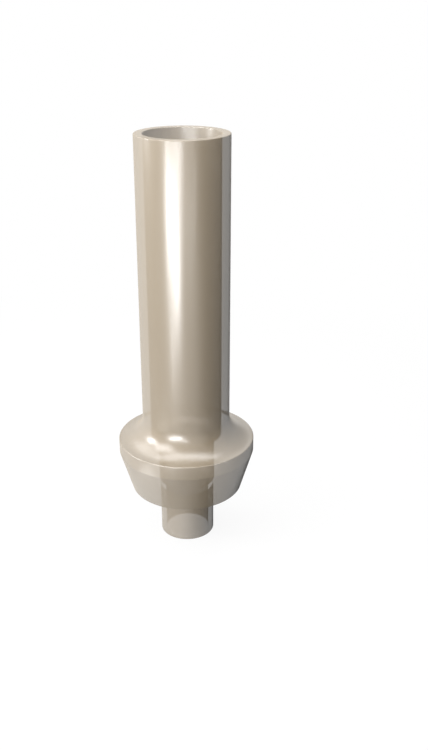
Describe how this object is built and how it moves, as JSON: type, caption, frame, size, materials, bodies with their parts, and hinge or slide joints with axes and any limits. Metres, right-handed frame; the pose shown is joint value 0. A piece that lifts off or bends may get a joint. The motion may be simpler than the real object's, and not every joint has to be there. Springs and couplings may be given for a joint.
{
  "type": "dental abutment",
  "caption": "Castable dental abutment of see-through plastic: a tall thin chimney on a flared collar, with a short spigot and a stepped screw bore.",
  "frame": {"origin": "centre of the platform seat, where the spigot leaves the collar's flat underside", "axes": "+Z along the bore axis, out of the implant towards the chimney's mouth; X and Y are free, because the part is round"},
  "size_m": [0.005, 0.005, 0.015],
  "materials": {
    "smoky_clear_plastic": "polished, see-through, smoky beige"
  },
  "bodies": {
    "root": {"abutment_sleeve": "smoky_clear_plastic"}
  },
  "joints": []
}
